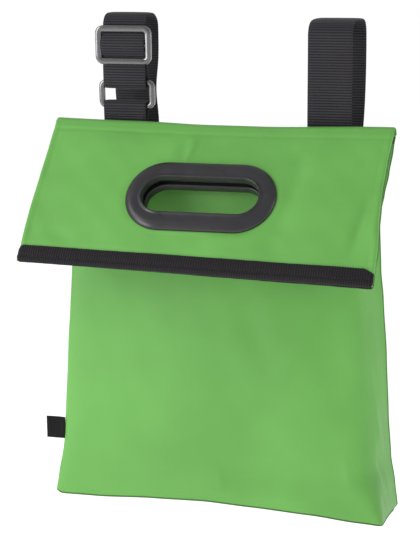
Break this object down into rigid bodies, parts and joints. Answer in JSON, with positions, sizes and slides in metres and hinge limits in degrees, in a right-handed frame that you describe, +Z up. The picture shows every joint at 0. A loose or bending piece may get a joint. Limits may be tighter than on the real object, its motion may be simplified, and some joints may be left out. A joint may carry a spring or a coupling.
{
  "type": "fold-over hanging bag",
  "caption": "Flat gusseted fabric bag with a folded-over double flap, snap-in hand grip, bound mouth and two webbing hanging loops, one adjustable.",
  "frame": {"origin": "top line of the rail that the bag hangs on, half-way between the two webbing loops", "axes": "+Z up, -Y towards the front of the bag, +X to the right of a person facing the bag"},
  "size_m": [0.3388, 0.1718, 0.4648],
  "materials": {
    "panel_fabric": "coated woven polyester, fine weave, soft sheen",
    "side_fabric": "coated woven polyester, fine weave, soft sheen",
    "flap_fabric": "coated woven polyester, fine weave, soft sheen",
    "inner_flap_fabric": "coated woven polyester, inner layer",
    "binding_tape": "ribbed woven tape, matte",
    "webbing": "ribbed polypropylene webbing, matte",
    "grip_plastic": "moulded plastic, satin",
    "buckle_plastic": "moulded plastic, glossy",
    "label_weave": "woven label, blank"
  },
  "bodies": {
    "bag": {"back_panel": "panel_fabric", "front_panel": "panel_fabric", "left_side_gusset": "side_fabric", "right_side_gusset": "side_fabric", "bottom_panel": "panel_fabric", "left_loop_anchor": "webbing", "right_loop_anchor": "webbing", "side_label": "label_weave"},
    "outer_flap": {"outer_flap_panel": "flap_fabric", "left_flap_gusset": "inner_flap_fabric", "right_flap_gusset": "inner_flap_fabric", "outer_mouth_binding": "binding_tape", "outer_grip_front_frame": "grip_plastic", "outer_grip_rear_frame": "grip_plastic"},
    "inner_flap": {"inner_flap_panel": "inner_flap_fabric", "inner_mouth_binding": "binding_tape", "inner_grip_front_frame": "grip_plastic", "inner_grip_rear_frame": "grip_plastic"},
    "left_loop": {"left_loop_webbing": "webbing", "left_ring_tab": "webbing"},
    "slider": {"left_slider": "buckle_plastic", "slider_webbing_end": "webbing"},
    "square_ring": {"left_square_ring": "buckle_plastic"},
    "right_loop": {"right_loop_webbing": "webbing"}
  },
  "joints": [
    {"name": "flap_fold", "type": "hinge", "parent": "bag", "child": "outer_flap", "pos_m": [0, -0.0332, -0.1052], "axis": [-1, 0, 0], "range_deg": [0, 120]},
    {"name": "mouth_open", "type": "hinge", "parent": "outer_flap", "child": "inner_flap", "pos_m": [0, -0.04214, -0.12285], "axis": [1, 0, 0], "range_deg": [0, 10], "stiffness_Nm_per_rad": 0.6, "springref_deg": -14.32},
    {"name": "left_loop_swing", "type": "hinge", "parent": "bag", "child": "left_loop", "pos_m": [-0.1, -0.0214, -0.1557], "axis": [-1, 0, 0], "range_deg": [0, 60], "stiffness_Nm_per_rad": 0.35, "springref_deg": -17.19},
    {"name": "right_loop_swing", "type": "hinge", "parent": "bag", "child": "right_loop", "pos_m": [0.1, -0.0214, -0.1557], "axis": [-1, 0, 0], "range_deg": [0, 60], "stiffness_Nm_per_rad": 0.35, "springref_deg": -17.19},
    {"name": "slider_travel", "type": "slide", "parent": "left_loop", "child": "slider", "axis": [0, 0, 1], "range_m": [-0.01, 0.006]},
    {"name": "ring_rock", "type": "hinge", "parent": "left_loop", "child": "square_ring", "pos_m": [-0.1, -0.0196, -0.0722], "axis": [1, 0, 0], "range_deg": [-3, 3]}
  ]
}
